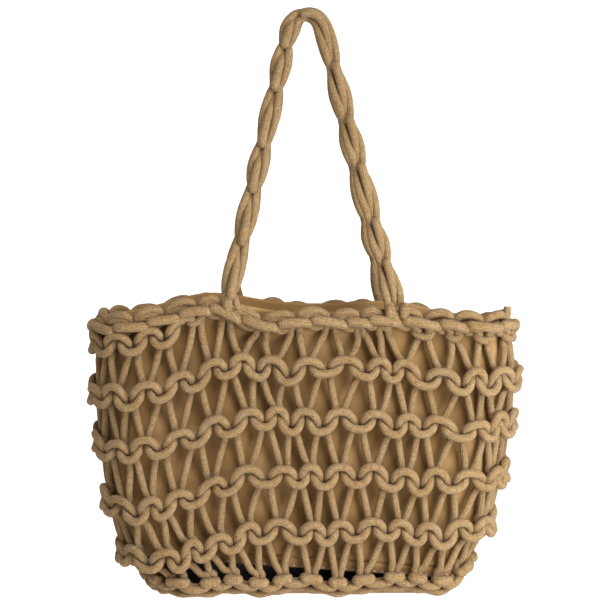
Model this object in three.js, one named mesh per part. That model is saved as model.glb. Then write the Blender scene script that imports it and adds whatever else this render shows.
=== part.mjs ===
// An openwork rope tote bag, in millimetres, +Z up, front face towards -Y.
// Thick cotton rope is knitted in the round into five tall courses between a chained base edge and a
// chained rim. A cloth lining hangs inside from the rim, a dark board lies on the rope base, and two
// chained rope handles rise from the rim and meet where the bag hangs. That meeting point is the origin.
import * as THREE from "three";

// Driving dimensions
const EYES = 24; // open loops cut through each course, all the way round
const HANG_HEIGHT = 452; // from the underside of the base to the hanging point under the handles
const HALF_WALL = 6.5; // half the thickness of a row where loops cross in front of each other
const LEG_FRONT = 0.5; // front of the plain legs between two rows, measured from the middle of the wall
const ROW_HALF_HEIGHT = 8; // from the middle of a row of crossed loops to where its plain legs begin
const ROW_WAVE = 3.5; // how far a row swings up over each loop head and down under each link
const SEAM = 0.3; // clearance between neighbouring pieces

// Levels of the wall, from the base edge up to the rim.
// height: middle of the row at the front; half_width, half_depth: plan of the wall's middle;
// sag_left, sag_right: how much lower the row lies at the bag's ends; lift: its share of the rim's lift.
const LEVELS = [
  { height: 14, half_width: 127, half_depth: 46, sag_left: 3, sag_right: 2, lift: 0 },
  { height: 55, half_width: 148, half_depth: 47, sag_left: 18, sag_right: 2, lift: 0 },
  { height: 99, half_width: 159, half_depth: 48, sag_left: 25, sag_right: 4, lift: 0 },
  { height: 143, half_width: 165, half_depth: 46, sag_left: 24, sag_right: 7, lift: 0 },
  { height: 184, half_width: 168, half_depth: 42, sag_left: 24, sag_right: 11, lift: 0.2 },
  { height: 213, half_width: 166, half_depth: 37, sag_left: 6, sag_right: 8, lift: 1 },
];
const TOP_LEVEL = LEVELS.length - 1;
const SAG_FROM = 0.2; // share of the half width where a row begins to sag
const SAG_TO = 0.85; // share where it has sagged all the way

// Where the rim is drawn up, how far, half the length of the stretch that rises, and the share at the back
const RIM_LIFTS = [
  { at: -80, rise: 11, reach: 42, back: 1 },
  { at: 75, rise: 5, reach: 30, back: 1 },
  { at: 140, rise: 7, reach: 45, back: 0 },
];

// Loop eyes: half their width as a share of a stitch, at the foot and at the head of a course
const EYE_FOOT = 0.12;
const EYE_HEAD = 0.3;

// Rim and base edge
const RIM_HEIGHT = 12.5;
const RIM_BUMP = 2; // height of each chain link's bump on the rim
const RIM_SHOULDER = 0.6; // share of the rim's height where it begins to round over
const RIM_CROWN = 0.4; // share of the wall's thickness that is left on top of the rim
const EDGE_FOOT = 0.4; // the base edge stays this far above the ground
const EDGE_ROUND = { foot: -0.3, middle: 0.6, share: 0.45 }; // how far out the edge's front is, of HALF_WALL
const MAT_THICKNESS = 8;
const MAT_GAP = 0.75; // between the rope mat and the base edge
const BOARD_THICKNESS = 2.5;
const BOARD_INSET = 6; // from the inside of the base edge

// Lining
const CLOTH = 1.2;
const LINING_FLOOR = 21; // underside of the pouch
const LINING_SEAM = 31; // above this the wall hangs free
const LINING_PULL = 3; // how far the wall is drawn in at the floor panel
const LINING_TOP = 10.5; // its upper edge, above the middle of the rim's row
const LINING_TUCK = 7.7; // inside of the wall's middle, where the cloth is sewn to the rim
const LINING_HANG = 9; // the same, where it hangs free
const FOLD_DEPTH = 4;
const FOLD_FADE = 40; // length over which the folds fade out at the rim and at the floor
const FOLD_LEAN = 40; // height over which a fold moves on by one radian of its wave
const FOLDS = 11;
const LINING_COLUMNS = 80; // all the way round

// Wall panels of the lining, by the turns between which each lies; 0 is the middle of the front
const LINING_PANELS = [
  { name: "lining_front", from: -0.15, to: 0.15 },
  { name: "lining_right", from: 0.15, to: 0.35 },
  { name: "lining_back", from: 0.35, to: 0.65 },
  { name: "lining_left", from: 0.65, to: 0.85 },
];

// Handles: where each meets the rim, left and right, and the side of the bag that it stands on
const HANDLES = [
  { name: "handle_front", left: -58, right: 68, side: -1 },
  { name: "handle_back", left: -58, right: 63, side: 1 },
];
const STRAP_WIDTH = 18;
const STRAP_DEPTH = 14;
const STRAP_APEX = { x: 1.5, width: 12.6, from: 10, to: 40 }; // narrow where it hangs, over this length
const STRAP_CORNER = { reach: 10.4, drop: 3.8 }; // from the apex to the corner of the arch
const STRAP_SHOULDER = { reach: 17.4, drop: 19.5 }; // from the apex to where the arch runs into the legs
const STRAP_LINK = 40; // length of one chain link along the strap
const STRAP_SWELL = 0.18; // how much each link swells
const STRAP_SIDES = 8;
const STRAP_STEPS = 64;
const STRAP_STEM = 10; // straight rise out of the rim
const STRAP_KNOTS = [0, 1 / 3, 2 / 3, 1]; // shares of a straight leg that the strap's middle is led through

const COTTON = { color: 0xb79b71, roughness: 0.95, metalness: 0 };
const LINING_CLOTH = { color: 0xb5966b, roughness: 0.9, metalness: 0 };
const BOARD_BLACK = { color: 0x1b1815, roughness: 0.7, metalness: 0 };

// Curves through the table of levels, so that a level between two rows is smooth
const planCurve = new THREE.CatmullRomCurve3(
  LEVELS.map((row) => new THREE.Vector3(row.half_width, row.half_depth, row.height)),
  false,
  "catmullrom",
);
const sagCurve = new THREE.CatmullRomCurve3(
  LEVELS.map((row) => new THREE.Vector3(row.sag_left, row.sag_right, row.lift)),
  false,
  "catmullrom",
);

// Half the way round the bag's plan, which is two straight runs joined by half circles
const halfRound = (halfWidth, halfDepth) => 2 * (halfWidth - halfDepth) + Math.PI * halfDepth;
const RIM_ROUND = 2 * halfRound(LEVELS[TOP_LEVEL].half_width, LEVELS[TOP_LEVEL].half_depth);

// A point of the plan and its outward direction. Turn 0 is the middle of the front and grows towards +X.
function planAt(turn, halfWidth, halfDepth) {
  const run = 2 * (halfWidth - halfDepth);
  const half = halfRound(halfWidth, halfDepth);
  const along = THREE.MathUtils.euclideanModulo(turn * 2 * half + run / 2, 2 * half);
  const front = along < half;
  const reach = front ? along : along - half;
  const flip = front ? 1 : -1;
  if (reach < run) return { x: flip * (reach - run / 2), y: -flip * halfDepth, nx: 0, ny: -flip };
  const angle = (reach - run) / halfDepth;
  const nx = flip * Math.sin(angle);
  const ny = -flip * Math.cos(angle);
  return { x: flip * (run / 2) + halfDepth * nx, y: halfDepth * ny, nx, ny };
}

// A point of the knitted wall: how far round, which level, how far out of its middle and how far above.
function wallPoint(turn, level, out, rise) {
  const share = THREE.MathUtils.clamp(level / TOP_LEVEL, 0, 1);
  const plan = planCurve.getPoint(share);
  const sag = sagCurve.getPoint(share);
  const at = planAt(turn, plan.x, plan.y);
  const sagged = THREE.MathUtils.smoothstep(Math.abs(at.x) / plan.x, SAG_FROM, SAG_TO);
  const drop = sagged * (at.x < 0 ? sag.x : sag.y);
  const lift = sag.z * rimLift(at);
  return new THREE.Vector3(
    at.x + out * at.nx,
    at.y + out * at.ny,
    plan.z - drop + lift + rise - HANG_HEIGHT,
  );
}

// How far the rim is drawn up at a place of the plan
function rimLift({ x, ny }) {
  const rises = RIM_LIFTS.map(({ at, rise, reach, back }) => {
    const share = THREE.MathUtils.lerp(1, back, (1 + ny) / 2);
    return rise * share * Math.exp(-(((x - at) / reach) ** 2));
  });
  return rises.reduce((sum, rise) => sum + rise, 0);
}

function solid(name, geometry, finish) {
  const mesh = new THREE.Mesh(geometry, new THREE.MeshStandardMaterial(finish));
  mesh.name = name;
  return mesh;
}

function geometryOf(points, triangles) {
  const geometry = new THREE.BufferGeometry().setFromPoints(points);
  geometry.setIndex(triangles.flat());
  geometry.computeVertexNormals();
  return geometry;
}

// A closed ring: a section of `rows` points carried round `columns` places
function ringGeometry(columns, rows, pointAt) {
  const points = [];
  const triangles = [];
  const index = (c, r) => (c % columns) * rows + (r % rows);
  for (let c = 0; c < columns; c += 1) {
    for (let r = 0; r < rows; r += 1) {
      points.push(pointAt(c, r));
      triangles.push([index(c, r), index(c + 1, r), index(c + 1, r + 1)]);
      triangles.push([index(c, r), index(c + 1, r + 1), index(c, r + 1)]);
    }
  }
  return geometryOf(points, triangles);
}

// One knitted course: a wall with one eye for each loop, thick along its head and its foot where it
// crosses the next courses. Both edges swing up at each loop's middle and down between two loops.
function courseGeometry(course) {
  const spacing = LEVELS[course].height - LEVELS[course - 1].height;
  const rib = ROW_HALF_HEIGHT / spacing;
  const footWave = course === 1 ? 0 : ROW_WAVE; // the base edge is level
  const points = [];
  const triangles = [];
  const put = (turn, level, out, rise) => points.push(wallPoint(turn, level, out, rise)) - 1;
  const loops = Array.from({ length: EYES }, (_, k) => {
    const turnAt = (share) => (k + share) / EYES;
    const layer = (ribOut, legOut) => ({
      footHead: put(turnAt(0), course - 1, ribOut, SEAM / 2 + footWave),
      footLink: put(turnAt(0.5), course - 1, ribOut, SEAM / 2 - footWave),
      eyeFootA: put(turnAt(-EYE_FOOT), course - 1 + rib, legOut, 0),
      eyeFootB: put(turnAt(EYE_FOOT), course - 1 + rib, legOut, 0),
      eyeHeadA: put(turnAt(-EYE_HEAD), course - rib, legOut, 0),
      eyeHeadB: put(turnAt(EYE_HEAD), course - rib, legOut, 0),
      headHead: put(turnAt(0), course, ribOut, ROW_WAVE - SEAM / 2),
      headLink: put(turnAt(0.5), course, ribOut, -SEAM / 2 - ROW_WAVE),
    });
    return { outer: layer(HALF_WALL, LEG_FRONT), inner: layer(-HALF_WALL, -HALF_WALL) };
  });
  const face = (a, b, c, flip) => triangles.push(flip ? [a, c, b] : [a, b, c]);
  const quad = (a, b, c, d) => triangles.push([a, b, c], [a, c, d]);
  loops.forEach((loop, k) => {
    const next = loops[(k + 1) % EYES];
    for (const [side, flip] of [["outer", false], ["inner", true]]) {
      const [p, q] = [loop[side], next[side]];
      // foot row, the leg pair between this eye and the next, head row
      face(p.footHead, p.eyeFootB, p.eyeFootA, flip);
      face(p.footHead, p.footLink, p.eyeFootB, flip);
      face(p.footLink, q.eyeFootA, p.eyeFootB, flip);
      face(p.footLink, q.footHead, q.eyeFootA, flip);
      face(p.eyeFootB, q.eyeFootA, q.eyeHeadA, flip);
      face(p.eyeFootB, q.eyeHeadA, p.eyeHeadB, flip);
      face(p.eyeHeadA, p.eyeHeadB, p.headHead, flip);
      face(p.eyeHeadB, p.headLink, p.headHead, flip);
      face(p.eyeHeadB, q.eyeHeadA, p.headLink, flip);
      face(q.eyeHeadA, q.headHead, p.headLink, flip);
    }
    const [o, i, no, ni] = [loop.outer, loop.inner, next.outer, next.inner];
    // lower and upper edges of the course
    quad(i.footHead, i.footLink, o.footLink, o.footHead);
    quad(i.footLink, ni.footHead, no.footHead, o.footLink);
    quad(i.headHead, o.headHead, o.headLink, i.headLink);
    quad(i.headLink, o.headLink, no.headHead, ni.headHead);
    // the four walls of the eye
    quad(o.eyeFootA, o.eyeFootB, i.eyeFootB, i.eyeFootA);
    quad(o.eyeFootB, o.eyeHeadB, i.eyeHeadB, i.eyeFootB);
    quad(o.eyeHeadB, o.eyeHeadA, i.eyeHeadA, i.eyeHeadB);
    quad(o.eyeHeadA, o.eyeFootA, i.eyeFootA, i.eyeHeadA);
  });
  return geometryOf(points, triangles);
}

// Two columns to a stitch: even ones over a loop's middle, odd ones between two loops
const stitchWave = (column) => (column % 2 === 0 ? 1 : -1);

// The chain that closes the top course, with a bump for each link
const rimTop = (column) => RIM_HEIGHT - RIM_BUMP * stitchWave(column);

function rimGeometry() {
  const foot = (column) => ROW_WAVE * stitchWave(column) + SEAM / 2;
  const rows = [
    { out: -HALF_WALL, rise: foot },
    { out: HALF_WALL, rise: foot },
    { out: HALF_WALL, rise: () => RIM_HEIGHT * RIM_SHOULDER },
    { out: HALF_WALL * RIM_CROWN, rise: rimTop },
    { out: -HALF_WALL * RIM_CROWN, rise: rimTop },
    { out: -HALF_WALL, rise: () => RIM_HEIGHT * RIM_SHOULDER },
  ];
  return ringGeometry(2 * EYES, rows.length, (column, row) =>
    wallPoint(column / (2 * EYES), TOP_LEVEL, rows[row].out, rows[row].rise(column)),
  );
}

// The chain round the base, under the lowest course, drawn in towards the ground
function baseEdgeGeometry() {
  const rows = [
    { out: -HALF_WALL, share: 0 },
    { out: HALF_WALL * EDGE_ROUND.foot, share: 0 },
    { out: HALF_WALL * EDGE_ROUND.middle, share: EDGE_ROUND.share },
    { out: HALF_WALL, share: 1 },
    { out: -HALF_WALL, share: 1 },
    { out: -HALF_WALL, share: EDGE_ROUND.share },
  ];
  const floor = EDGE_FOOT - HANG_HEIGHT;
  return ringGeometry(2 * EYES, rows.length, (column, row) => {
    const at = wallPoint(column / (2 * EYES), 0, rows[row].out, -SEAM / 2);
    return at.setZ(THREE.MathUtils.lerp(floor, at.z, rows[row].share));
  });
}

// A flat plate with a round-ended plan: half the length of its straight run, and the radius of its ends
function plateGeometry(halfRun, radius, floor, thickness) {
  const outline = new THREE.Shape();
  outline.absarc(halfRun, 0, radius, -Math.PI / 2, Math.PI / 2);
  outline.absarc(-halfRun, 0, radius, Math.PI / 2, (3 * Math.PI) / 2);
  const options = { depth: thickness, bevelEnabled: false, curveSegments: 12 };
  return new THREE.ExtrudeGeometry(outline, options).translate(0, 0, floor - HANG_HEIGHT);
}

// A plate lying on the base, drawn in from the middle of the wall
function basePlate(inset, floor, thickness) {
  const { half_width, half_depth } = LEVELS[0];
  return plateGeometry(half_width - half_depth, half_depth - inset, floor, thickness);
}

// Level at which a height lies on the front of the wall
function levelOf(height) {
  const above = LEVELS.findIndex((row) => row.height >= height);
  if (above <= 0) return above < 0 ? TOP_LEVEL : 0;
  const [low, high] = [LEVELS[above - 1].height, LEVELS[above].height];
  return above - 1 + (height - low) / (high - low);
}

// Rows of the lining's wall, from the floor panel up to the rim; pull: how far the row is drawn in
const RIM_SEAM = LEVELS[TOP_LEVEL].height + LINING_TOP;
const LINING_ROWS = [
  { height: LINING_FLOOR, pull: LINING_PULL },
  { height: LINING_SEAM, pull: 0 },
  ...LEVELS.slice(1).map(({ height }) => ({ height, pull: 0 })),
  { height: RIM_SEAM, pull: 0 },
];

// A point of the lining's wall, `inside` its outer face. The wall hangs in soft folds that fade at the rim
// and at the floor. Below the seam it is level; above, it sags with the net.
function liningPoint(turn, { height, pull }, inside) {
  const hang = THREE.MathUtils.smoothstep(RIM_SEAM - height, 0, FOLD_FADE);
  const low = THREE.MathUtils.smoothstep(height - LINING_FLOOR, 0, FOLD_FADE);
  const wave = 0.5 + 0.5 * Math.sin(2 * Math.PI * FOLDS * turn + height / FOLD_LEAN);
  const tuck = THREE.MathUtils.lerp(LINING_TUCK, LINING_HANG, hang);
  const out = -(tuck + pull + FOLD_DEPTH * hang * low * wave + inside);
  if (height <= LINING_SEAM) return wallPoint(turn, levelOf(LINING_SEAM), out, 0).setZ(height - HANG_HEIGHT);
  return wallPoint(turn, levelOf(height), out, Math.max(0, height - LEVELS[TOP_LEVEL].height));
}

// One sewn panel of the lining's wall between two turns
function liningGeometry({ from, to }) {
  const columns = Math.round((to - from) * LINING_COLUMNS);
  const gap = SEAM / 2 / RIM_ROUND;
  const turnAt = (c) => THREE.MathUtils.lerp(from + gap, to - gap, c / columns);
  const turns = Array.from({ length: columns + 1 }, (_, c) => turnAt(c));
  const section = [
    ...LINING_ROWS.map((row) => ({ row, inside: 0 })),
    ...LINING_ROWS.map((row) => ({ row, inside: CLOTH })).reverse(),
  ];
  const points = turns.flatMap((turn) => section.map(({ row, inside }) => liningPoint(turn, row, inside)));
  const triangles = [];
  const size = section.length;
  const index = (c, r) => c * size + (r % size);
  for (let c = 0; c < columns; c += 1) {
    for (let r = 0; r < size; r += 1) {
      triangles.push([index(c, r), index(c + 1, r), index(c + 1, r + 1)]);
      triangles.push([index(c, r), index(c + 1, r + 1), index(c, r + 1)]);
    }
  }
  for (let r = 0; r + 1 < LINING_ROWS.length; r += 1) {
    const across = size - 1 - r;
    triangles.push([index(0, r), index(0, r + 1), index(0, across - 1)]);
    triangles.push([index(0, r), index(0, across - 1), index(0, across)]);
    triangles.push([index(columns, r), index(columns, across - 1), index(columns, r + 1)]);
    triangles.push([index(columns, r), index(columns, across), index(columns, across - 1)]);
  }
  return geometryOf(points, triangles);
}

// The lining's floor panel, sewn in between the wall panels
function liningFloorGeometry() {
  const plan = planCurve.getPoint(levelOf(LINING_SEAM) / TOP_LEVEL);
  const inset = LINING_HANG + LINING_PULL + CLOTH + 2 * SEAM;
  return plateGeometry(plan.x - plan.y, plan.y - inset, LINING_FLOOR, CLOTH);
}

// The place on top of the rim where a handle stands, clear of the highest link under it
function seatAt(x, side) {
  const turnOf = (place) => (side < 0 ? place / RIM_ROUND : 0.5 - place / RIM_ROUND);
  const topOf = (turn) => {
    const column = Math.floor(turn * 2 * EYES);
    const [a, b] = [column, column + 1].map((c) =>
      wallPoint(c / (2 * EYES), TOP_LEVEL, 0, rimTop(THREE.MathUtils.euclideanModulo(c, 2))).z,
    );
    return THREE.MathUtils.lerp(a, b, turn * 2 * EYES - column);
  };
  const across = [-0.5, -0.375, -0.25, -0.125, 0, 0.125, 0.25, 0.375, 0.5]; // shares of the strap's width
  const under = across.map((share) => topOf(turnOf(x + STRAP_WIDTH * share)));
  const seat = wallPoint(turnOf(x), TOP_LEVEL, 0, 0);
  return seat.setZ(Math.max(...under) + SEAM);
}

// A handle: a chained strap from one seat on the rim, over the hanging point, to the other seat
function handleGeometry({ left, right, side }) {
  const apex = new THREE.Vector3(STRAP_APEX.x, side * (STRAP_DEPTH / 2 + SEAM), STRAP_APEX.width / 2);
  const legOf = (x, towards) => {
    const seat = seatAt(x, side);
    const stem = seat.clone().setZ(seat.z + STRAP_STEM);
    const below = ({ reach, drop }) =>
      new THREE.Vector3(
        apex.x + towards * reach,
        THREE.MathUtils.lerp(apex.y, stem.y, drop / (apex.z - stem.z)),
        apex.z - drop,
      );
    const shoulder = below(STRAP_SHOULDER);
    return [seat, ...STRAP_KNOTS.map((knot) => stem.clone().lerp(shoulder, knot)), below(STRAP_CORNER)];
  };
  const path = new THREE.CatmullRomCurve3([...legOf(left, -1), apex, ...legOf(right, 1).reverse()]);
  const length = path.getLength();
  const points = [];
  const triangles = [];
  const index = (s, k) => s * STRAP_SIDES + (k % STRAP_SIDES);
  for (let s = 0; s <= STRAP_STEPS; s += 1) {
    const share = s / STRAP_STEPS;
    const at = path.getPointAt(share);
    const tangent = path.getTangentAt(share);
    if (s === 0) tangent.set(0, 0, 1);
    if (s === STRAP_STEPS) tangent.set(0, 0, -1);
    const across = new THREE.Vector3(0, 1, 0).cross(tangent).normalize();
    const deep = tangent.clone().cross(across);
    const link = Math.cos((2 * Math.PI * (share - 0.5) * length) / STRAP_LINK);
    const below = Math.abs(share - 0.5) * length;
    const hung = THREE.MathUtils.smoothstep(below, STRAP_APEX.from, STRAP_APEX.to);
    const waist = STRAP_SWELL * (0.5 + 0.5 * link);
    const width = THREE.MathUtils.lerp(STRAP_APEX.width, STRAP_WIDTH * (1 - waist), hung);
    for (let k = 0; k < STRAP_SIDES; k += 1) {
      const angle = (2 * Math.PI * (k + 0.5)) / STRAP_SIDES;
      const round = Math.cos(Math.PI / STRAP_SIDES); // so that the flats, not the corners, give the size
      points.push(
        at.clone()
          .addScaledVector(across, ((width / 2) * Math.cos(angle)) / round)
          .addScaledVector(deep, ((STRAP_DEPTH / 2) * Math.sin(angle)) / round),
      );
      if (s === 0) continue;
      triangles.push([index(s - 1, k), index(s - 1, k + 1), index(s, k + 1)]);
      triangles.push([index(s - 1, k), index(s, k + 1), index(s, k)]);
    }
  }
  for (let k = 1; k + 1 < STRAP_SIDES; k += 1) {
    triangles.push([index(0, 0), index(0, k + 1), index(0, k)]);
    triangles.push([index(STRAP_STEPS, 0), index(STRAP_STEPS, k), index(STRAP_STEPS, k + 1)]);
  }
  return geometryOf(points, triangles);
}

const bag = new THREE.Group();
const boardFloor = MAT_THICKNESS + SEAM;
bag.add(solid("base_mat", basePlate(HALF_WALL + MAT_GAP, 0, MAT_THICKNESS), COTTON));
bag.add(solid("base_edge", baseEdgeGeometry(), COTTON));
for (let course = 1; course <= TOP_LEVEL; course += 1) {
  bag.add(solid(`net_course_${course}`, courseGeometry(course), COTTON));
}
bag.add(solid("rim_chain", rimGeometry(), COTTON));
bag.add(solid("base_board", basePlate(HALF_WALL + BOARD_INSET, boardFloor, BOARD_THICKNESS), BOARD_BLACK));
bag.add(solid("lining_floor", liningFloorGeometry(), LINING_CLOTH));
LINING_PANELS.forEach((panel) => bag.add(solid(panel.name, liningGeometry(panel), LINING_CLOTH)));
HANDLES.forEach((handle) => bag.add(solid(handle.name, handleGeometry(handle), COTTON)));

export default bag;
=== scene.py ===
import math

import bpy
import numpy as np
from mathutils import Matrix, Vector


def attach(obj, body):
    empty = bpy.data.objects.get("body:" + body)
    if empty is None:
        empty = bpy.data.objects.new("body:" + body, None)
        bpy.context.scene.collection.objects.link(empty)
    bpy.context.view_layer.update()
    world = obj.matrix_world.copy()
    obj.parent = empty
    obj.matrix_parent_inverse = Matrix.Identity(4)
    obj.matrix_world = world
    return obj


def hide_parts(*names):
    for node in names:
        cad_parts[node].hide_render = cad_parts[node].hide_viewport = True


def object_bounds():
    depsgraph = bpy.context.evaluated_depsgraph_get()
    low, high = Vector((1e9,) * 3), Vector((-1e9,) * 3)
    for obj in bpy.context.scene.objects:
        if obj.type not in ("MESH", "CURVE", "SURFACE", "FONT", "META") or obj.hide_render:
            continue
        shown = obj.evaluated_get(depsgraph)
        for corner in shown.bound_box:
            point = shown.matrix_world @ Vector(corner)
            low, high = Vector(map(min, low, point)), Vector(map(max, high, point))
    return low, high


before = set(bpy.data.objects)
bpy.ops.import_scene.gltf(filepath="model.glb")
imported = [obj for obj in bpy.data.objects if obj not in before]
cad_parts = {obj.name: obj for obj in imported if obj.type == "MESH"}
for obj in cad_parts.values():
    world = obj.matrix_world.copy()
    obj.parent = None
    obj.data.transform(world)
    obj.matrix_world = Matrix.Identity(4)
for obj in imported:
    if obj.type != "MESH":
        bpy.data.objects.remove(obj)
cadLow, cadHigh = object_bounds()
print("frame loaded:", len(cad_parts), "solids")

millimetre = 0.001  # in metres; sizes below are millimetres unless a note says otherwise
tau = 2 * math.pi
rng = np.random.default_rng(7)

# the knitted wall: one entry for each row of links, from the base edge up to the rim
wall = {
    "ground": cadLow.z / millimetre,
    "stitches": 30,  # all the way round
    "firstStitch": 0.14,  # of a stitch, from the middle of the front to the nearest loop
    "height": [14, 55, 99, 143, 184, 213],  # middle of the row above the ground
    "halfWidth": [130, 148, 159, 165, 168, 166],
    "halfDepth": [46, 47, 48, 46, 42, 37],
    "aside": [2.5, 1, 0, 0, 0, 0],  # how far the row lies off the middle, towards +X
    "sagLeft": [4, 25, 27, 24, 24, 6],  # how far the row's ends hang below its middle
    "sagRight": [1, 1, 4, 7.5, 13.5, 9.5],
    "sagSpan": (0.2, 0.85),  # shares of the half width between which a row sags
    "liftShare": [0, 0, 0, 0, 0.2, 1],  # how much of the lifts the row follows
    "lifts": [(-80, 11, 42, 1), (75, 5, 30, 1), (140, 7, 45, 0)],  # place, rise, reach, share at the back
    "cornerLift": (9.0, 0.84, 1.02),  # climb of the base edge at its right end, and the shares between
    "endsTuck": 0.4,  # share by which the loops lie closer to the wall at the bag's ends
    "endsLean": (6.0, 0.0, 16.0),  # how far the ends of the rim lean in, and the rises between
    "backSpan": (0.55, 0.8),  # from 0 in front to 1 behind, where a rope takes on its shape at the back
}
topRow = len(wall["height"]) - 1.0
rope = {
    "radius": 3.15,
    "sides": 12,
    "straight": 1e-9,  # sine of a bend below which the path counts as straight
}


def smooth(x, low, high):
    # 0 below low, 1 above high, an S-shaped rise between
    t = np.clip((x - low) / (high - low), 0, 1)
    return t * t * (3 - 2 * t)


def curveBetween(before, start, stop, after, share):
    # the cubic from start to stop whose slope at each is half the step between its two neighbours
    square = 2 * before - 5 * start + 4 * stop - after
    cube = 3 * (start - stop) + after - before
    return start + 0.5 * share * (stop - before + share * (square + share * cube))


def alongTable(values, level):
    # that curve through evenly spaced values, with both ends carried on straight
    v = np.asarray(values, float)
    v = np.concatenate([[2 * v[0] - v[1]], v, [2 * v[-1] - v[-2]]])
    i = np.clip(np.floor(level).astype(int), 0, len(values) - 2)
    return curveBetween(v[i], v[i + 1], v[i + 2], v[i + 3], level - i)


def curveThrough(points, steps):
    # that curve through rows of numbers, each stretch cut into equal steps; the two end rows only lead
    # the curve in and out
    p = np.asarray(points, float)
    share = (np.arange(steps) / steps)[None, :, None]
    neighbours = [p[k : len(p) - 3 + k, None, :] for k in range(4)]
    return curveBetween(*neighbours, share).reshape(-1, p.shape[1])


def planPoints(turn, run, radius):
    # a round-ended plan: straight runs joined by half circles, turn 0 at the middle of the front,
    # growing towards +X; gives x, y and the outward direction
    half = run + math.pi * radius
    along = np.mod(turn * 2 * half + run / 2, 2 * half)
    flip = np.where(along < half, 1.0, -1.0)
    reach = np.where(along < half, along, along - half)
    angle = np.clip((reach - run) / radius, 0, math.pi)
    straight = reach < run
    nx = flip * np.where(straight, 0, np.sin(angle))
    ny = -flip * np.where(straight, 1, np.cos(angle))
    x = flip * np.where(straight, reach - run / 2, run / 2) + radius * nx
    return x, radius * ny, nx, ny


def wallPoints(turn, level, out, rise):
    # the round-ended plan of a level, pushed out along its own direction, at the row's height less its
    # sag towards the ends, plus the bell-shaped lifts of the rim
    halfWidth = alongTable(wall["halfWidth"], level)
    halfDepth = alongTable(wall["halfDepth"], level)
    x, y, nx, ny = planPoints(turn, 2 * (halfWidth - halfDepth), halfDepth)
    sag = np.where(x < 0, alongTable(wall["sagLeft"], level), alongTable(wall["sagRight"], level))
    climb, start, stop = wall["cornerLift"]
    corner = climb * smooth(x / halfWidth, start, stop) * (1 - smooth(level, 0, 1))
    drop = sag * smooth(np.abs(x) / halfWidth, *wall["sagSpan"]) - corner
    back = (1 + ny) / 2
    lift = 0
    for at, most, reach, behind in wall["lifts"]:
        lift = lift + most * (1 - back + back * behind) * np.exp(-(((x - at) / reach) ** 2))
    out = np.where(out > 0, out * (1 - wall["endsTuck"] * nx**2), out)
    lean, low, high = wall["endsLean"]
    out = out - lean * nx**2 * smooth(rise, low, high) * smooth(level, topRow - 1, topRow)
    z = alongTable(wall["height"], level) - drop + alongTable(wall["liftShare"], level) * lift
    x = x + alongTable(wall["aside"], level)
    return np.stack([x + out * nx, y + out * ny, z + rise + wall["ground"]], -1)


# small unevenness of hand work, the same for all ropes that meet at a place
wavesPerTurn = np.array([3, 5, 6, 8, 9, 11, 13])
waveShape = (4, len(wavesPerTurn))  # for the shift, the rise, the step out and the size
unevenness = {
    "phase": rng.uniform(0, tau, waveShape),
    "perLevel": rng.uniform(0.8, 2.6, waveShape),
    "shift": 0.04,  # of a stitch
    "rise": 0.65,
    "out": 0.3,
    "size": 0.06,  # of a loop's height, between the base edge and the rim
}


def handWork(turn, level):
    # four sums of sines of the place round the bag and the level: a shift, a rise, a step out and a
    # loop's size
    u = unevenness
    angle = tau * turn[..., None, None] * wavesPerTurn + u["phase"] + level[..., None, None] * u["perLevel"]
    shift, rise, out, size = np.moveaxis(np.sin(angle).sum(-1), -1, 0)
    free = smooth(level, 0, 1) * (1 - smooth(level, topRow - 1, topRow))
    return shift * u["shift"], rise * u["rise"], out * u["out"], 1 + size * u["size"] * free


def unit(v):
    # each vector divided by its length
    return v / np.linalg.norm(v, axis=-1, keepdims=True)


def turned(v, axis, angle):
    # each vector turned about its own axis: the part along the axis stays, the rest goes by cosine and sine
    c, s = np.cos(angle)[..., None], np.sin(angle)[..., None]
    return v * c + np.cross(axis, v) * s + axis * (axis * v).sum(-1, keepdims=True) * (1 - c)


def lengthAlong(path):
    # the lengths of the steps, added up from 0
    return np.concatenate([[0], np.cumsum(np.linalg.norm(np.diff(path, axis=0), axis=1))])


def ropeFrames(path, closed):
    # two directions across the path that turn as little as possible: any direction square to the path is
    # taken at each place, and the angles by which neighbours differ are added up and taken out
    ahead = np.roll(path, -1, 0) - np.roll(path, 1, 0)
    if not closed:
        ahead[0] = path[1] - path[0]
        ahead[-1] = path[-1] - path[-2]
    tangent = unit(ahead)
    least = np.eye(3)[np.argmin(np.abs(tangent), axis=1)]
    side = unit(np.cross(tangent, least))
    nextTangent, nextSide = np.roll(tangent, -1, 0), np.roll(side, -1, 0)
    axis = np.cross(tangent, nextTangent)
    sine = np.linalg.norm(axis, axis=1)
    bent = sine[:, None] > rope["straight"]
    axis = np.where(bent, axis / np.maximum(sine, rope["straight"])[:, None], least)
    bend = np.arctan2(sine, (tangent * nextTangent).sum(1))
    carried = turned(side, axis, bend)
    over = np.cross(nextTangent, nextSide)
    step = np.arctan2((carried * over).sum(1), (carried * nextSide).sum(1))
    twist = np.concatenate([[0], np.cumsum(step)[:-1]])
    if closed:
        rest = np.mod(step.sum() + math.pi, tau) - math.pi
        twist = twist - rest * np.arange(len(path)) / len(path)
    side = turned(side, tangent, twist)
    return side, np.cross(tangent, side)


def ropeTube(path, closed=True, thick=1.0):
    # a circle carried along the path on those directions, as many rope radii wide as thick says; the map
    # runs round the rope and along it, both in rope girths
    sides = rope["sides"]
    side, over = ropeFrames(path, closed)
    angle = tau * np.arange(sides) / sides
    ring = side[:, None] * np.cos(angle)[:, None] + over[:, None] * np.sin(angle)[:, None]
    radius = np.broadcast_to(rope["radius"] * thick, len(path))
    run = lengthAlong(np.concatenate([path, path[:1]]) if closed else path)
    around, along = np.meshgrid(np.arange(sides + 1) / sides, run / (tau * rope["radius"]))
    return {
        "points": path[:, None] + ring * radius[:, None, None],
        "map": np.stack([around, along], -1),
        "loopRows": closed,
        "caps": not closed,
    }


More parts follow.
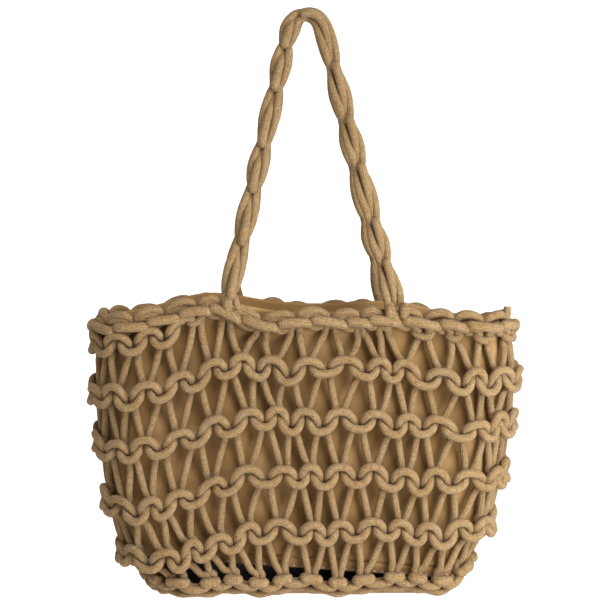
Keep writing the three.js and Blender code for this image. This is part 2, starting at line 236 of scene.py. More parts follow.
def makePiece(name, grids, material, solids):
    # grids of points, each joined round its columns and, for a closed rope, round its rows; an open one
    # gets a flat face on each end
    points, corners, sizes, maps, first = [], [], [], [], 0
    for grid in grids:
        rows, columns = grid["points"].shape[:2]
        index = np.arange(rows * columns).reshape(rows, columns) + first
        index = np.concatenate([index, index[:, :1]], 1)
        uv = grid["map"]
        if grid["loopRows"]:
            index = np.concatenate([index, index[:1]], 0)
        quads = np.stack([index[:-1, :-1], index[:-1, 1:], index[1:, 1:], index[1:, :-1]], -1)
        quadMap = np.stack([uv[:-1, :-1], uv[:-1, 1:], uv[1:, 1:], uv[1:, :-1]], -2)
        corners.append(quads.ravel())
        maps.append(quadMap.reshape(-1, 2))
        sizes.append(np.full(quads.shape[0] * quads.shape[1], 4))
        if grid["caps"]:
            corners += [index[0, -2::-1], index[-1, :-1]]
            maps += [uv[0, -2::-1], uv[-1, :-1]]
            sizes.append(np.full(2, columns))
        points.append(grid["points"].reshape(-1, 3))
        first += rows * columns
    points = np.concatenate(points) * millimetre
    corners, sizes, maps = np.concatenate(corners), np.concatenate(sizes), np.concatenate(maps)
    mesh = bpy.data.meshes.new(name)
    mesh.vertices.add(len(points))
    mesh.vertices.foreach_set("co", points.astype(np.float32).ravel())
    mesh.loops.add(len(corners))
    mesh.loops.foreach_set("vertex_index", corners.astype(np.int32))
    mesh.polygons.add(len(sizes))
    mesh.polygons.foreach_set("loop_start", (np.cumsum(sizes) - sizes).astype(np.int32))
    mesh.polygons.foreach_set("use_smooth", sizes == 4)  # the end faces stay flat
    mesh.uv_layers.new(name="along").data.foreach_set("uv", maps.astype(np.float32).ravel())
    mesh.update()
    mesh.validate()
    mesh.materials.append(material)
    piece = bpy.data.objects.new(name, mesh)
    bpy.context.scene.collection.objects.link(piece)
    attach(piece, "root")
    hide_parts(*solids)
    print("made", name, len(points), "points")
    return piece


# shader helpers
def newFinish(name):
    # a material, its node tree and its shader
    material = bpy.data.materials.new(name)
    material.use_nodes = True
    return material, material.node_tree, material.node_tree.nodes["Principled BSDF"]


def maths(tree, operation, first, second=None, clamp=False):
    # one step of arithmetic on numbers or on the outputs of other nodes
    node = tree.nodes.new("ShaderNodeMath")
    node.operation = operation
    node.use_clamp = clamp
    for socket, value in zip(node.inputs, (first, second)):
        if isinstance(value, (int, float)):
            socket.default_value = value
        elif value is not None:
            tree.links.new(value, socket)
    return node.outputs[0]


def weighted(tree, first, firstShare, second, secondShare):
    # the first times its share plus the second times its share
    firstPart = maths(tree, "MULTIPLY", first, firstShare)
    return maths(tree, "ADD", firstPart, maths(tree, "MULTIPLY", second, secondShare))


def noise(tree, place, scale, detail):
    # soft random values from 0 to 1
    node = tree.nodes.new("ShaderNodeTexNoise")
    node.inputs["Scale"].default_value = scale
    node.inputs["Detail"].default_value = detail
    tree.links.new(place, node.inputs["Vector"])
    return node.outputs["Fac"]


def mixColour(tree, share, first, second):
    # from the first colour at 0 to the second at 1
    node = tree.nodes.new("ShaderNodeMix")
    node.data_type = "RGBA"
    tree.links.new(share, node.inputs["Factor"])
    for socket, colour in ((node.inputs["A"], first), (node.inputs["B"], second)):
        if isinstance(colour, tuple):
            socket.default_value = (*colour, 1)
        else:
            tree.links.new(colour, socket)
    return node.outputs["Result"]


def mapPlaces(tree):
    # the two values of the piece's own map
    uv = tree.nodes.new("ShaderNodeUVMap")
    uv.uv_map = "along"
    split = tree.nodes.new("ShaderNodeSeparateXYZ")
    tree.links.new(uv.outputs["UV"], split.inputs[0])
    return split.outputs["X"], split.outputs["Y"]


def addRelief(tree, shader, height, strength, distance):
    # the surface seems to rise with the height
    bump = tree.nodes.new("ShaderNodeBump")
    bump.inputs["Strength"].default_value = strength
    bump.inputs["Distance"].default_value = distance
    tree.links.new(height, bump.inputs["Height"])
    tree.links.new(bump.outputs["Normal"], shader.inputs["Normal"])


cotton = {
    # the colour runs from dark, painted shade in the knit's grooves, to light on its ridges, with random
    # fibre and blotch tone mixed in
    "light": (0.414, 0.303, 0.173),
    "dark": (0.214, 0.118, 0.030),
    "columns": 12,  # knitted columns round the rope
    "stitches": 11.0,  # stitches in one girth of length
    "slant": 0.7,  # of a stitch, from the middle of a column to its edge
    "stitchDepth": 0.6,
    "groove": 0.55,  # depth of the lines between the columns
    "grooveSharp": 3,
    "fibres": (18.0, 6.0),  # round the rope and along one girth of length
    "fuzz": 760,  # scale of the fibres that lie every way
    "fineDetail": 2,
    "fuzzShare": 1.5,
    "fibreShare": 1.7,
    "knitShare": 1.05,
    "blotch": (45, 3),  # scale and detail
    "heightInShade": 0.75,
    "blotchInShade": 0.5,
    "darkest": 1.45,  # value of the mix of relief and blotches at which the colour is all dark
    "contrast": 1.15,
    "bump": 0.8,
    "relief": 0.0004,  # metres
    "roughness": 0.92,
    "specular": 0.35,
    "sheen": 0.1,
    "sheenRoughness": 0.6,
}


def cottonRope():
    material, tree, shader = newFinish("cotton rope")
    place = tree.nodes.new("ShaderNodeTexCoord").outputs["Object"]
    around, along = mapPlaces(tree)

    def do(operation, first, second=None, clamp=False):
        return maths(tree, operation, first, second, clamp)

    # columns of small V stitches along the rope's knitted sleeve
    column = do("FRACT", do("MULTIPLY", around, cotton["columns"]))
    edge = do("MULTIPLY", do("ABSOLUTE", do("SUBTRACT", column, 0.5)), 2)
    phase = weighted(tree, along, cotton["stitches"], edge, cotton["slant"])
    wave = do("ADD", do("MULTIPLY", do("SINE", do("MULTIPLY", phase, tau)), 0.5), 0.5)
    ribs = do("ADD", do("MULTIPLY", wave, cotton["stitchDepth"]), 1 - cotton["stitchDepth"])
    line = do("MULTIPLY", do("POWER", edge, cotton["grooveSharp"]), cotton["groove"])
    knit = do("MULTIPLY", ribs, do("SUBTRACT", 1, line))
    # fine fibres, some lying every way and some drawn out along the rope
    drawn = tree.nodes.new("ShaderNodeCombineXYZ")
    for socket, value, scale in zip(drawn.inputs, (around, along), cotton["fibres"]):
        tree.links.new(do("MULTIPLY", value, scale), socket)
    fibre = noise(tree, drawn.outputs[0], 1, cotton["fineDetail"])
    fuzz = noise(tree, place, cotton["fuzz"], cotton["fineDetail"])
    fine = weighted(tree, fuzz, cotton["fuzzShare"], fibre, cotton["fibreShare"])
    height = do("ADD", do("MULTIPLY", knit, cotton["knitShare"]), fine)
    # the colour follows the height, which paints shade into the knit's grooves and adds random fibre tone,
    # and large soft blotches of random tone
    blotch = noise(tree, place, *cotton["blotch"])
    shade = weighted(tree, height, cotton["heightInShade"], blotch, cotton["blotchInShade"])
    tone = do("MULTIPLY", do("SUBTRACT", shade, cotton["darkest"]), cotton["contrast"], clamp=True)
    tree.links.new(mixColour(tree, tone, cotton["dark"], cotton["light"]), shader.inputs["Base Color"])
    addRelief(tree, shader, height, cotton["bump"], cotton["relief"])
    shader.inputs["Roughness"].default_value = cotton["roughness"]
    shader.inputs["Specular IOR Level"].default_value = cotton["specular"]
    shader.inputs["Sheen Weight"].default_value = cotton["sheen"]
    shader.inputs["Sheen Roughness"].default_value = cotton["sheenRoughness"]
    return material


ropeCotton = cottonRope()
print("rope finish made")

# left half of a stitch, from the middle of a link at the foot row up its leg to the loop's head; across in
# stitches, row 0 at the foot and 1 at the head, rise and out in millimetres, thick in rope radii
stitch = {
    "across": [-0.5, -0.34, -0.19, -0.12, -0.115, -0.165, -0.245, -0.32, -0.36, -0.38, -0.31, -0.17, 0.0],
    "row": [0, 0, 0, 0, 0, 0.3, 0.5, 0.7, 1, 1, 1, 1, 1],
    "rise": [-7.3, -6.6, -3.4, 1.4, 6.8, 0, 0, 0, -6.8, -1.4, 3.4, 6.6, 7.3],
    "out": [4.6, 4.4, 3.4, 0.0, -3.6, -3.8, -3.8, -3.8, -3.6, 0.0, 3.4, 4.4, 4.6],
    "thick": [1.04, 1.04, 1.02, 0.98, 0.95, 0.93, 0.92, 0.93, 0.95, 0.98, 1.02, 1.04, 1.04],
    "steps": 3,
}
stitchColumns = ("across", "row", "rise", "out", "thick")
linkPart, legPart, headPart = slice(0, 5), slice(5, 8), slice(8, None)  # places in those columns
# at the base edge the links lie behind the wraps
firstFoot = {"rise": [-2, -1.5, 0, 3, 8], "out": [-3.8, -3.8, -3.8, -3.6, -3.4]}
# under the middle of the rim the heads stand up behind the chain; at the bag's ends they stay below it and
# hold one more short round
lastHead = {
    "rise": [-4, 2.5, 6.2, 7.8, 8.3],
    "out": [-3.4, -2.6, -0.4, 1.2, 1.6],
    "endsRow": [0.25, 0.4, 0.55],
    "endsDrop": 7.5,
}
shortRound = {
    "across": [-0.15, -0.22, -0.29],
    "legRise": [1.5, 3.5, 5.5],
    "headRise": [4.5, 6.5, 8.4, 9.6, 10.0],
    "hidden": {"rise": 1.5, "out": -3.4},
    "span": (-105, -70, 55, 85),  # places between which it fades out from the left and in at the right
    "atRight": 0.45,  # share of it there, drawn up under the chain
}


def roundTheBag(columns, steps, level0, ends=None, back=None):
    # columns of (across, row, rise, out, thick) for one stitch, repeated for all the stitches, joined by a
    # smooth curve and wrapped round the wall with the hand work's unevenness; other columns take over at
    # the bag's ends and at its back
    count = wall["stitches"]

    def repeated(one):
        one = np.asarray(one, float).T
        many = np.concatenate([one + [k, 0, 0, 0, 0] for k in range(-1, count + 1)])
        lead = len(one)
        return curveThrough(many[lead - 1 : lead + count * lead + 2], steps).T

    rows = repeated(columns)
    if ends is not None:
        halfWidth, halfDepth = wall["halfWidth"][-1], wall["halfDepth"][-1]
        turn = (rows[0] + wall["firstStitch"]) / count
        x, _, _, _ = planPoints(turn, 2 * (halfWidth - halfDepth), halfDepth)
        left0, left1, right0, right1 = shortRound["span"]
        share = 1 - smooth(x, left0, left1) + shortRound["atRight"] * smooth(x, right0, right1)
        rows = rows + share * (repeated(ends) - rows)
    if back is not None:
        behind = (1 - np.cos(tau * (rows[0] + wall["firstStitch"]) / count)) / 2
        rows = rows + smooth(behind, *wall["backSpan"]) * (repeated(back) - rows)
    across, row, rise, out, thick = rows
    turn = (across + wall["firstStitch"]) / count
    level = level0 + row
    shift, up, step, size = handWork(turn, level)
    path = wallPoints(turn + shift / count, level, out + step, rise * size + up)
    return ropeTube(path, thick=thick)


def halfStitch():
    # the stitch's table as arrays that can be changed
    return {k: np.array(stitch[k], float) for k in stitchColumns}


def wholeStitch(half):
    # the left half of a stitch followed by its mirror image
    both = {k: np.concatenate([v, (-v if k == "across" else v)[-2:0:-1]]) for k, v in half.items()}
    return [both[k] for k in stitchColumns]


def netCourse(course):
    # the course's rope: link, left leg, head, right leg, over and over round the bag
    half, ends = halfStitch(), None
    if course == 1:
        half["rise"][linkPart] = firstFoot["rise"]
        half["out"][linkPart] = firstFoot["out"]
    if course == topRow:
        atEnds = halfStitch()
        atEnds["row"][legPart] = lastHead["endsRow"]
        atEnds["rise"][headPart] -= lastHead["endsDrop"]
        ends = wholeStitch(atEnds)
        half["rise"][headPart] = lastHead["rise"]
        half["out"][headPart] = lastHead["out"]
    loops = roundTheBag(wholeStitch(half), stitch["steps"], course - 1, ends)
    node = f"net_course_{course}"
    return makePiece(node.replace("net", "rope"), [loops], ropeCotton, [node])


for course in range(1, len(wall["height"])):
    netCourse(course)

# rim: a bar in front from one loop head to the next, its left end over the bar before it, then down behind,
# back over the next head in an arch, and along inside to the next bar
rim = {
    "across": [
        0.05, 0.07, 0.14, 0.36, 0.62, 0.82, 0.9, 0.92, 1.06, 1.3,
        1.43, 1.37, 1.2, 1.0, 0.8, 0.63, 0.57, 0.68, 0.9,
    ],
    "rise": [
        4.6, 6.0, 6.2, 5.6, 4.6, 3.8, 3.0, 1.6, -0.6, 0.4,
        5.0, 9.2, 11.9, 12.7, 11.9, 9.2, 5.0, 1.8, 2.6,
    ],
    "out": [
        2.0, 4.8, 6.2, 6.6, 6.4, 5.8, 3.6, 0.2, -2.4, -3.6,
        -2.6, -0.8, 0.4, 0.6, 0.4, -0.8, -2.6, -3.8, -1.4,
    ],
    "thick": [
        1.12, 1.18, 1.2, 1.22, 1.22, 1.2, 1.15, 1.05, 1, 1,
        1, 1.06, 1.12, 1.14, 1.12, 1.06, 1, 1, 1.04,
    ],
    "archSpan": (6, 10),  # rises between which a place counts as part of the arch
    "archUp": 2.4,  # how much higher the arches stand at the bag's ends
    "archDown": 3.8,  # how much lower they lie at the back
    "steps": 5,
}
# the rope's end stands up at the right end of the rim; its first and last places only lead the curve
ropeEnd = {
    "turn": [0.216, 0.218, 0.220, 0.222, 0.223, 0.224],
    "out": [-4.0, -2.0, 1.5, 3.5, 4.0, 4.0],
    "rise": [-2.0, 4.0, 10.0, 16.0, 21.5, 26.0],
    "thick": [1, 1, 1, 0.97, 0.85, 0.6],
    "steps": 6,
}


def rimChain():
    # the rim's columns, with the arches lifted at the bag's ends and lowered at its back
    rise = np.array(rim["rise"])

    def lifted(lift):
        arched = rise + lift * smooth(rise, *rim["archSpan"])
        return [rim["across"], 0 * rise, arched, rim["out"], rim["thick"]]

    return roundTheBag(lifted(0), rim["steps"], topRow, lifted(rim["archUp"]), lifted(-rim["archDown"]))


def shortRoundRope():
    # links under the loop heads at the bag's ends, short legs and heads above the chain; between the ends
    # the rope runs hidden behind the chain
    atEnds, hidden = halfStitch(), halfStitch()
    atEnds["row"][:] = 0
    atEnds["rise"][linkPart] -= lastHead["endsDrop"]
    atEnds["across"][legPart] = shortRound["across"]
    atEnds["rise"][legPart] = shortRound["legRise"]
    atEnds["rise"][headPart] = shortRound["headRise"]
    atEnds["out"][headPart] = lastHead["out"]
    hidden["across"] = np.linspace(stitch["across"][0], stitch["across"][-1], len(stitch["across"]))
    hidden["row"][:] = 0
    hidden["rise"][:] = shortRound["hidden"]["rise"]
    hidden["out"][:] = shortRound["hidden"]["out"]
    return roundTheBag(wholeStitch(hidden), stitch["steps"], topRow, wholeStitch(atEnds))


def looseEnd():
    # a short open rope on a smooth curve through a few places on the rim
    rows = np.stack([ropeEnd[k] for k in ("turn", "out", "rise", "thick")], -1)
    turn, out, rise, thick = curveThrough(rows, ropeEnd["steps"]).T
    path = wallPoints(turn, np.full(len(turn), topRow), out, rise)
    return ropeTube(path, closed=False, thick=thick)


makePiece("rope_rim", [rimChain(), shortRoundRope(), looseEnd()], ropeCotton, ["rim_chain"])

# base edge: a scallop from one leg pair to the next, then a flat wrap over the pair
baseEdge = {
    "across": [0.03, 0.2, 0.5, 0.8, 0.97, 1.13, 1.215, 1.23, 1.18, 1.0, 0.82, 0.77, 0.785, 0.87],
    "rise": [0.6, -1.4, -2.4, -1.4, 0.6, 1.2, 2.4, 2.8, 3.0, 3.0, 3.0, 2.8, 2.4, 1.2],
    "out": [0.6, 2.0, 2.6, 2.0, 0.6, -3.0, -1.6, 2.4, 4.8, 5.0, 4.8, 2.4, -1.6, -3.6],
    "thick": [0.95, 0.95, 0.97, 0.95, 0.95, 1, 1.1, 1.2, 1.22, 1.24, 1.22, 1.2, 1.1, 1],
    "steps": 6,
}
# under the scallops, the outermost round of the bottom
footRound = {
    "across": [0, 0.25, 0.5, 0.75],
    "rise": [-8.0, -7.4, -6.8, -7.4],
    "out": [-4.0, -4.6, -5.2, -4.6],
    "thick": [0.95, 0.95, 0.95, 0.95],
    "steps": 3,
}


def edgeRope(one):
    # the columns of one stitch repeated round the lowest row
    lowest = [0] * len(one["across"])
    return roundTheBag([one["across"], lowest, one["rise"], one["out"], one["thick"]], one["steps"], 0.0)


edgeRopes = [edgeRope(baseEdge), edgeRope(footRound)]
makePiece("rope_base_edge", edgeRopes, ropeCotton, ["base_edge"])

# base mat: one rope coiled flat from the edge to the middle, where its last two runs lie side by side
mat = {
    "height": 4.9,
    "outermost": 9.0,  # middle of the first lap, inside the lowest row
    "laps": 5.75,
    "lastGap": 0.01,  # of a lap, left at the middle
    "perTurn": 180,
    "start": 0.5,  # at the back
}
baseRun = 2 * (wall["halfWidth"][0] - wall["halfDepth"][0])


def coiledMat():
    # the base's round-ended plan, its radius shrinking evenly to nothing over the laps
    turn = np.linspace(0, mat["laps"] - mat["lastGap"], int(mat["laps"] * mat["perTurn"]))
    radius = (wall["halfDepth"][0] - mat["outermost"]) * (1 - turn / mat["laps"])
    x, y, _, _ = planPoints(turn + mat["start"], baseRun, radius)
    path = np.stack([x + wall["aside"][0], y, np.full_like(x, mat["height"] + wall["ground"])], -1)
    return ropeTube(path, closed=False)


makePiece("rope_mat", [coiledMat()], ropeCotton, ["base_mat"])

# handles: a chain along an arch; each link is a long strand in front and a loop of two side strands behind;
# along in links, side and front in millimetres, thick in rope radii
handle = {
    "along": [
        0, 0.04, 0.2, 0.5, 0.76, 0.94, 1.08, 1.28, 1.52,
        1.78, 1.98, 2.1, 1.98, 1.78, 1.52, 1.28, 1.08, 0.97,
    ],
    "side": [0.3, 0, 0, 0, -0.3, -1.2, -2.7, -4.5, -5.3, -4.2, -2.9, 0, 2.9, 4.2, 5.3, 4.5, 2.7, 1.4],
    "front": [
        0.3, 4.8, 5.3, 3.8, 0.4, -1.4, -1.8, -0.6, 0.6,
        1.6, -0.4, -3.4, -0.4, 1.6, 0.6, -0.6, -2.2, -2,
    ],
    "thick": [
        1.04, 1.12, 1.1, 0.96, 0.8, 0.8, 0.92, 1, 1.04,
        0.98, 0.92, 0.92, 0.92, 0.98, 1.04, 1, 0.94, 0.98,
    ],
    "steps": 6,
    "links": [-26, 14, 57, 99, 135, 180, 214, 243, 294, 337, 375, 419, 452, 492, 535],  # where each starts
    "twist": [-12, -12, -8, 6, 16, 14, 8, 14, 20, 22, 22, 22, 22, 22, 20],  # degrees at each link
    "apex": (1.5, 7.3, 4.0),  # place, distance from the bag's middle plane, and height
    "corner": (9.3, 4.4),  # reach and drop from the apex
    "shoulder": (15.6, 20.0),
    "legKnots": 6,
    "legSteps": 20,
    "places": 900,  # along the whole arch
    "stem": 10.0,
    "foot": 13.0,  # top of the rim above its row
    "sink": 9.0,  # how far the chain goes down into the rim
    "hung": (0.85, 8, 40),  # share of the width where it hangs, and the lengths between which it widens
    "spread": (0.35, 8, 34),  # how much wider at the feet, and the lengths over which it narrows
    "ends": {"front": (-58, 68, -1), "back": (-58, 63, 1)},  # left foot, right foot, and which way is out
    "ties": {"front": (-60, 66, 77), "back": (-60, 61, 72)},
    "tie": {"rise": 11.6, "half": 3.4, "out": 2.0, "reach": 5.0, "thick": 1.25, "places": 24},
}


def wallTurn(x, facing):
    # the share of the way round the rim at which a place on the straight front or back lies
    perimeter = 4 * (wall["halfWidth"][-1] - wall["halfDepth"][-1]) + tau * wall["halfDepth"][-1]
    return np.where(facing < 0, x / perimeter, 0.5 - x / perimeter)


def legKnots(foot, apex, way):
    # from inside the rim up a short stem, straight to the shoulder, and on to the corner of the arch; the
    # depth changes evenly with the height
    stem = foot + [0, 0, handle["stem"]]

    def below(reach, drop):
        share = drop / (apex[2] - stem[2])
        return np.array([apex[0] + way * reach, apex[1] + share * (stem[1] - apex[1]), apex[2] - drop])

    straight = np.linspace(0, 1, handle["legKnots"])[:, None] * (below(*handle["shoulder"]) - stem)
    sunk = foot - [0, 0, handle["sink"]]
    return np.concatenate([[sunk], stem + straight, [below(*handle["corner"])]])


def archLine(left, right, facing):
    # the strap's middle: two legs and the apex on one smooth curve, resampled to even steps
    turn = wallTurn(np.array([left, right]), facing)
    feet = wallPoints(turn, np.full(2, topRow), np.zeros(2), np.full(2, handle["foot"]))
    place, depth, height = handle["apex"]
    apex = np.array([place, facing * depth, height])
    knots = np.concatenate([legKnots(feet[0], apex, -1), [apex], legKnots(feet[1], apex, 1)[::-1]])
    knots = np.concatenate([[2 * knots[0] - knots[1]], knots, [2 * knots[-1] - knots[-2]]])
    line = curveThrough(knots, handle["legSteps"])
    run = lengthAlong(line)
    even = np.linspace(0, run[-1], handle["places"])
    return np.stack([np.interp(even, run, line[:, k]) for k in range(3)], -1), run[-1]


def footTie(x, facing):
    # a short closed wrap, an ellipse that stands square to the wall, round the foot of a handle
    tie = handle["tie"]
    angle = tau * np.arange(tie["places"]) / tie["places"]
    turn = np.full(tie["places"], wallTurn(x, facing))
    out = tie["out"] + tie["reach"] * np.cos(angle)
    rise = tie["rise"] + tie["half"] * np.sin(angle)
    path = wallPoints(turn, np.full(tie["places"], topRow), out, rise)
    return ropeTube(path, thick=tie["thick"])


def handleChain(name):
    # the chain's rows of (along, side, front, thick) repeated link after link, turned about the arch by a
    # slowly growing angle and bent along it, narrower where it hangs and wider at its feet
    left, right, facing = handle["ends"][name]
    line, length = archLine(left, right, facing)
    one = np.stack([handle[k] for k in ("along", "side", "front", "thick")], -1)
    many = np.concatenate([one + [k, 0, 0, 0] for k in range(-2, len(handle["links"]))])
    along, side, front, thick = curveThrough(many, handle["steps"]).T
    share = alongTable(handle["links"], along) / length
    angle = np.radians(alongTable(handle["twist"], along))
    keep = (share > 0) & (share < 1)
    share, side, front, thick, angle = share[keep], side[keep], front[keep], thick[keep], angle[keep]
    at = share * (len(line) - 1)
    i = np.clip(np.floor(at).astype(int), 0, len(line) - 2)
    f = (at - i)[:, None]
    middle = line[i] * (1 - f) + line[i + 1] * f
    tangent = unit(np.gradient(line, axis=0))[i]
    forward = unit(np.array([0.0, facing, 0.0]) - tangent * tangent[:, 1:2] * facing)
    sideways = np.cross(tangent, forward)
    least, near, far = handle["hung"]
    side = side * (least + (1 - least) * smooth(np.abs(share - 0.5) * length, near, far))
    more, near, far = handle["spread"]
    side = side * (1 + more * (1 - smooth(np.minimum(share, 1 - share) * length, near, far)))
    across = side * np.cos(angle) - front * np.sin(angle)
    ahead = side * np.sin(angle) + front * np.cos(angle)
    path = middle + sideways * across[:, None] + forward * ahead[:, None]
    ropes = [ropeTube(path, closed=False, thick=thick)]
    ropes += [footTie(x, facing) for x in handle["ties"][name]]
    node = f"handle_{name}"
    return makePiece(f"rope_{node}", ropes, ropeCotton, [node])


for name in handle["ends"]:
    handleChain(name)

# lining: a cloth pouch sewn to the rim, hanging in soft folds to a sewn-in bottom
lining = {
    "cloth": 1.2,
    "floor": 22.2,
    "seam": 32.2,
    "top": 12.0,  # above the middle of the rim row
    "tuck": 7.7,  # inside the middle of the net, where it is sewn to the rim
    "hang": 9.0,  # the same, where it hangs free
    "pull": 3.0,  # how far the wall is drawn in at the floor
    "tilt": -0.07,  # the hem's fall from left to right
    "endsCloser": 0.8,  # share of the folds left out at the bag's ends
    "endsSharp": 4,
    "folds": 11,
    "foldDepth": 4.0,
    "foldFade": 40.0,  # height over which the folds fade at the rim and at the floor
    "foldLean": 40.0,  # height over which a fold moves on by one radian
    "wrinkle": {"depth": 1.3, "waves": [(19, 17.0), (8, -29.0)]},  # how many round the bag, and their lean
    "crease": (30.7, 1.5, 1.4),  # height, depth and width of the sewn line above the floor
    "columns": 400,
    "hemRows": (34.0, 24),  # how high the close rows reach, and how many
    "wallRows": (36.0, 86),  # where the wider rows start, and how many
    "mapRound": 0.7,  # length of the map round the pouch, metres
}
clothFinish = {
    "light": (0.54, 0.362, 0.178),
    "dark": (0.30, 0.178, 0.066),
    # the blotches are painted light and shade standing in for lit and shaded folds
    "blotch": (24, 2),  # scale and detail
    "grain": (1500, 2),
    "blotchShare": 1.5,
    "grainShare": 0.3,
    "darkest": 0.4,  # value of the mix of blotches and grain at which the colour is all dark
    "bump": 0.3,
    "relief": 0.0003,  # metres
    "roughness": 0.9,
    "specular": 0.15,
    "paleDashes": {"colour": (0.62, 0.57, 0.48), "pitch": 0.0062, "long": 0.33, "low": 0.0234, "high": 0.0246},
}


def liningPoints(turn, height, inside):
    # the wall's plan drawn in by tuck, folds and wrinkles, which are sines round the bag that lean with the
    # height and fade at the rim and the floor; level below the seam, sagging with the net above it
    rows = wall["height"]
    levels = np.arange(len(rows))
    hang = smooth(rows[-1] + lining["top"] - height, 0, lining["foldFade"])
    low = smooth(height - lining["floor"], 0, lining["foldFade"])
    ends = np.sin(tau * turn) ** lining["endsSharp"] * lining["endsCloser"]
    fold = 0.5 + 0.5 * np.sin(tau * lining["folds"] * turn + height / lining["foldLean"])
    fold = fold * (1 - ends)
    wrinkleShare = lining["wrinkle"]["depth"] / lining["foldDepth"]
    for waves, lean in lining["wrinkle"]["waves"]:
        fold = fold + wrinkleShare * (0.5 + 0.5 * np.sin(tau * waves * turn + height / lean))
    pull = lining["pull"] * np.clip((lining["seam"] - height) / (lining["seam"] - lining["floor"]), 0, 1)
    at, depth, width = lining["crease"]
    pull = pull + depth * np.exp(-(((height - at) / width) ** 2))
    out = -(lining["tuck"] + (lining["hang"] - lining["tuck"]) * hang * (1 - ends) + pull + inside)
    plan = np.interp(np.maximum(height, lining["seam"]), rows, levels)
    above = np.maximum(height - rows[-1], 0)
    points = wallPoints(turn, plan, out - lining["foldDepth"] * hang * low * fold, above)
    netLevel = np.interp(np.maximum(height, rows[1]), rows, levels)
    hung = wallPoints(turn, netLevel, 0 * height, 0 * height)[..., 2]
    share = np.clip((height - lining["seam"]) / (rows[1] - lining["seam"]), 0, 1)
    level = np.minimum(height, lining["seam"]) + wall["ground"]
    points[..., 2] = level + share * (hung - level) + above
    points[..., 2] += (1 - share) * lining["tilt"] * points[..., 0]
    return points


def clothPouch():
    # the outer face from the floor up to the rim, then the inner face, one cloth thickness in, down again
    hemTop, hemCount = lining["hemRows"]
    wallStart, wallCount = lining["wallRows"]
    hem = np.linspace(lining["floor"], hemTop, hemCount)
    rows = np.concatenate([hem, np.linspace(wallStart, wall["height"][-1] + lining["top"], wallCount)])
    turns = np.arange(lining["columns"] + 1) / lining["columns"]
    turn, height = np.meshgrid(turns[:-1], rows)
    outer = liningPoints(turn, height, 0)
    inner = liningPoints(turn, np.maximum(height, lining["floor"] + lining["cloth"]), lining["cloth"])
    flat = np.stack(np.meshgrid(turns * lining["mapRound"], rows * millimetre), -1)
    return {
        "points": np.concatenate([outer, inner[::-1]]),
        "map": np.concatenate([flat, flat[::-1]]),
        "loopRows": False,
        "caps": True,
    }


def liningCloth():
    material, tree, shader = newFinish("lining cloth")
    place = tree.nodes.new("ShaderNodeTexCoord").outputs["Object"]
    # large soft blotches paint lit and shaded patches in place of light and shade on the folds; the fine
    # grain is the cloth's own tone
    blotch = noise(tree, place, *clothFinish["blotch"])
    grain = noise(tree, place, *clothFinish["grain"])
    foldShadeAndGrain = weighted(tree, blotch, clothFinish["blotchShare"], grain, clothFinish["grainShare"])
    tone = maths(tree, "SUBTRACT", foldShadeAndGrain, clothFinish["darkest"], clamp=True)
    cloth = mixColour(tree, tone, clothFinish["dark"], clothFinish["light"])
    # pale dashes in a row just above the hem
    paleDashes = clothFinish["paleDashes"]
    around, up = mapPlaces(tree)
    along = maths(tree, "FRACT", maths(tree, "DIVIDE", around, paleDashes["pitch"]))
    dash = maths(tree, "LESS_THAN", along, paleDashes["long"])
    dash = maths(tree, "MULTIPLY", dash, maths(tree, "GREATER_THAN", up, paleDashes["low"]))
    dash = maths(tree, "MULTIPLY", dash, maths(tree, "LESS_THAN", up, paleDashes["high"]))
    tree.links.new(mixColour(tree, dash, cloth, paleDashes["colour"]), shader.inputs["Base Color"])
    addRelief(tree, shader, grain, clothFinish["bump"], clothFinish["relief"])
    shader.inputs["Roughness"].default_value = clothFinish["roughness"]
    shader.inputs["Specular IOR Level"].default_value = clothFinish["specular"]
    return material


pouchNodes = ["lining_floor", "lining_front", "lining_right", "lining_back", "lining_left"]
pouchPiece = makePiece("cloth_lining", [clothPouch()], liningCloth(), pouchNodes)

# base board: a thin near-black plate lying on the rope mat, which darkens the gaps below the lining's hem
board = {
    "inset": 10.5,  # from the lowest row
    "floor": 8.3,
    "thickness": 2.5,
    "edge": 0.6,
    "columns": 200,
    "colour": (0.026, 0.018, 0.012),
    "roughness": 0.65,
    "specular": 0.2,
}


def boardPlate():
    # the base's round-ended plan at four heights, drawn in at the lowest and the highest by a bevelled edge
    turn = np.arange(board["columns"]) / board["columns"]
    x, y, nx, ny = planPoints(turn, baseRun, wall["halfDepth"][0] - board["inset"])
    inward = np.array([board["edge"], 0, 0, board["edge"]])[:, None]
    up = np.array([0, board["edge"], board["thickness"] - board["edge"], board["thickness"]])[:, None]
    z = np.broadcast_to(board["floor"] + up + wall["ground"], (len(up), len(turn)))
    return {
        "points": np.stack([x + wall["aside"][0] - inward * nx, y - inward * ny, z], -1),
        "map": np.stack(np.meshgrid(np.linspace(0, 1, len(turn) + 1), np.linspace(0, 1, len(up))), -1),
        "loopRows": False,
        "caps": True,
    }


def boardBlack():
    material, _, shader = newFinish("black board")
    shader.inputs["Base Color"].default_value = (*board["colour"], 1)
    shader.inputs["Roughness"].default_value = board["roughness"]
    shader.inputs["Specular IOR Level"].default_value = board["specular"]
    return material


makePiece("board", [boardPlate()], boardBlack(), ["base_board"])

# floor that curves up into a backdrop, and the lights; metres apart from the gap
studio = {
    "gap": 450.0,  # millimetres that the bag hangs above the floor
    "halfWidth": 14.0,
    "near": -14.0,
    "far": 2.5,
    "bend": 1.5,
    "bendSteps": 24,
    "height": 5.0,
    "colour": (0.97, 0.97, 0.97),
    "glow": 0.1,
    "world": 0.34,
    "worldColour": (1.0, 0.89, 0.75),
    "lightColour": (0.97, 1.0, 1.06),
    "sunAngle": 30.0,
    "suns": {"softbox": (2.15, (0.3, -0.75, 0.85)), "fill": (1.3, (-0.5, 0.8, 0.6))},  # power and place
    "sunsTowards": (0.0, 0.0, 0.0),
    "lamp": {"at": (0.55, -0.6, -0.28), "towards": (0.0, 0.0, -0.35), "size": 0.5, "power": 6.4},
    "gamma": 0.82,
}


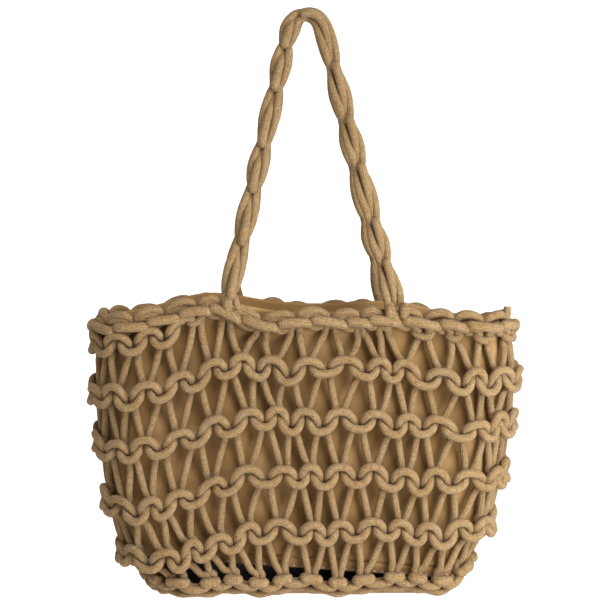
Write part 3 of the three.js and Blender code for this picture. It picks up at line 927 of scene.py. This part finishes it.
def sweepMesh():
    # a straight floor, a quarter circle and a straight wall, carried from side to side
    corner = np.linspace(0, math.pi / 2, studio["bendSteps"])
    bendY = studio["far"] + studio["bend"] * np.sin(corner)
    bendZ = studio["bend"] * (1 - np.cos(corner))
    y = np.concatenate([[studio["near"]], bendY, [studio["far"] + studio["bend"]]])
    z = np.concatenate([[0], bendZ, [studio["height"]]]) + cadLow.z - studio["gap"] * millimetre
    x, row = np.meshgrid([-studio["halfWidth"], studio["halfWidth"]], np.arange(len(y)))
    points = np.stack([x, y[row], z[row]], -1).reshape(-1, 3)
    first = 2 * np.arange(len(y) - 1)
    faces = np.stack([first, first + 1, first + 3, first + 2], -1)
    mesh = bpy.data.meshes.new("floor")
    mesh.from_pydata(points.tolist(), [], faces.tolist())
    mesh.polygons.foreach_set("use_smooth", np.ones(len(faces), bool))
    return mesh


def paleFloor():
    material, _, shader = newFinish("pale floor")
    shader.inputs["Base Color"].default_value = (*studio["colour"], 1)
    shader.inputs["Roughness"].default_value = 1.0
    shader.inputs["Specular IOR Level"].default_value = 0.0
    shader.inputs["Emission Color"].default_value = (1, 1, 1, 1)
    shader.inputs["Emission Strength"].default_value = studio["glow"]
    return material


def softLight(name, kind, power, place, towards):
    # a light at a place, turned towards another
    data = bpy.data.lights.new(name, kind)
    data.energy = power
    data.color = studio["lightColour"]
    light = bpy.data.objects.new(name, data)
    bpy.context.scene.collection.objects.link(light)
    light.location = place
    way = Vector(towards) - Vector(place)
    light.rotation_euler = way.to_track_quat("-Z", "Y").to_euler()
    return light


floor = bpy.data.objects.new("floor", sweepMesh())
floor.data.materials.append(paleFloor())
bpy.context.scene.collection.objects.link(floor)

world = bpy.data.worlds.new("studio")
bpy.context.scene.world = world
world.use_nodes = True
background = world.node_tree.nodes["Background"]
background.inputs["Color"].default_value = (*studio["worldColour"], 1)
background.inputs["Strength"].default_value = studio["world"]

for name, (power, place) in studio["suns"].items():
    sun = softLight(name, "SUN", power, place, studio["sunsTowards"])
    sun.data.angle = math.radians(studio["sunAngle"])
lampSet = studio["lamp"]
lamp = softLight("lamp", "AREA", lampSet["power"], lampSet["at"], lampSet["towards"])
lamp.data.size = lampSet["size"]
lamp.visible_camera = False

# camera; metres, the pitch in degrees, the focal length and the sensor in millimetres
view = {"distance": 1.7, "pitch": 7.0, "lookAt": (-0.0038, 0.0, -0.2206), "focal": 128.5, "sensor": 36.0}
cameraData = bpy.data.cameras.new("camera")
cameraData.lens = view["focal"]
cameraData.sensor_width = view["sensor"]
camera = bpy.data.objects.new("camera", cameraData)
bpy.context.scene.collection.objects.link(camera)
pitch = math.radians(view["pitch"])
backwards = Vector((0, -math.cos(pitch), math.sin(pitch)))
camera.location = Vector(view["lookAt"]) + view["distance"] * backwards
camera.rotation_euler = (math.pi / 2 - pitch, 0, 0)
bpy.context.scene.camera = camera
bpy.context.scene.view_settings.view_transform = "Standard"
bpy.context.scene.view_settings.gamma = studio["gamma"]
print("studio ready")
